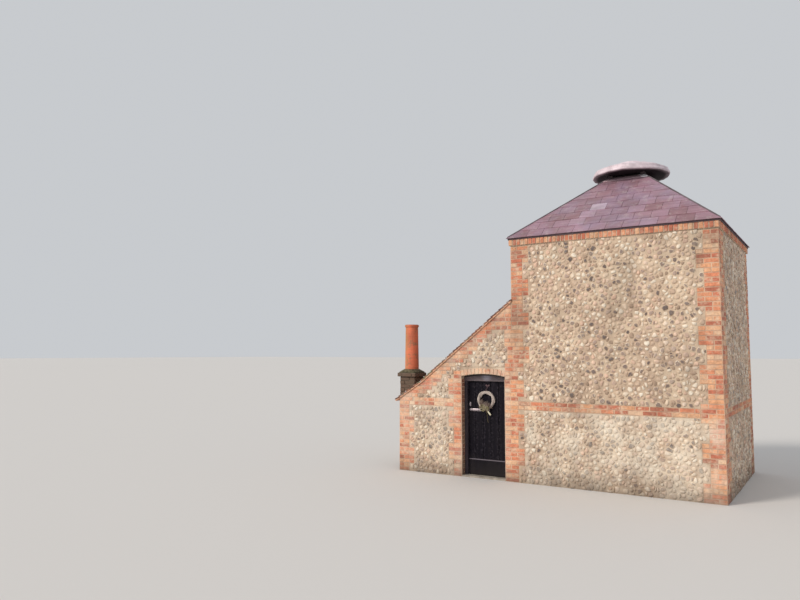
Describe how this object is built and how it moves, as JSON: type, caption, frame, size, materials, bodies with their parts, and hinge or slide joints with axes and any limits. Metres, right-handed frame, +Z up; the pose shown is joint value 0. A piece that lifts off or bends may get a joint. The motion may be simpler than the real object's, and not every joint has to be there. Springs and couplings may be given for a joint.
{
  "type": "oast house",
  "caption": "Square flint kiln with a cut-off slate pyramid roof and round lead vent cap, and a tiled lean-to with an arched plank door and a brick chimney.",
  "frame": {"origin": "ground level, in the middle of the whole plan", "axes": "+Z up, the front with the door faces -Y, +X from the lean-to towards the kiln"},
  "size_m": [6.15, 3.54, 5.8987],
  "materials": {
    "flint": "rough flint in lime mortar",
    "brick": "soft red brick, matt",
    "slate": "weathered purple slate",
    "lead": "dull oxidised lead sheet",
    "clay_tile": "weathered clay tile",
    "timber": "old sawn timber",
    "frame_paint": "worn dark grey paint",
    "door_paint": "black paint on planks",
    "iron": "black wrought iron",
    "galvanised": "bright zinc",
    "twig": "bleached twigs",
    "mortar": "weathered mortar",
    "terracotta": "red clay",
    "stone": "worn stone"
  },
  "bodies": {
    "building": {"kiln_front_wall": "flint", "kiln_right_wall": "flint", "kiln_back_wall": "flint", "kiln_side_wall_front": "flint", "kiln_side_wall_back": "flint", "kiln_side_wall_over": "flint", "inner_lintel": "timber", "eaves_course_front": "brick", "eaves_course_right": "brick", "eaves_course_back": "brick", "eaves_course_left": "brick", "roof_slope_front": "slate", "roof_slope_right": "slate", "roof_slope_back": "slate", "roof_slope_left": "slate", "vent_curb": "timber", "lead_cap": "lead", "cap_disc": "lead", "gable_wall_left": "flint", "gable_wall_right": "flint", "gable_wall_over": "flint", "door_arch": "brick", "lean_to_back_wall": "flint", "lean_to_side_wall": "flint", "lean_to_roof": "clay_tile", "rafters": "timber", "low_wall_plate": "timber", "high_wall_plate": "timber", "threshold": "stone", "frame_post_left": "frame_paint", "frame_post_right": "frame_paint", "frame_head": "frame_paint", "hinge_hooks": "iron", "chimney_stack": "brick", "flaunching": "mortar", "chimney_pot": "terracotta"},
    "door": {"door_planks": "door_paint", "door_ledges": "door_paint", "kick_board": "door_paint", "hinge_bands": "iron", "door_bolt": "galvanised", "door_knob": "galvanised", "wreath": "twig"}
  },
  "joints": [
    {"name": "door_hinge", "type": "hinge", "parent": "building", "child": "door", "pos_m": [-0.615, -1.492, 0], "axis": [0, 0, -1], "range_deg": [0, 90]}
  ]
}
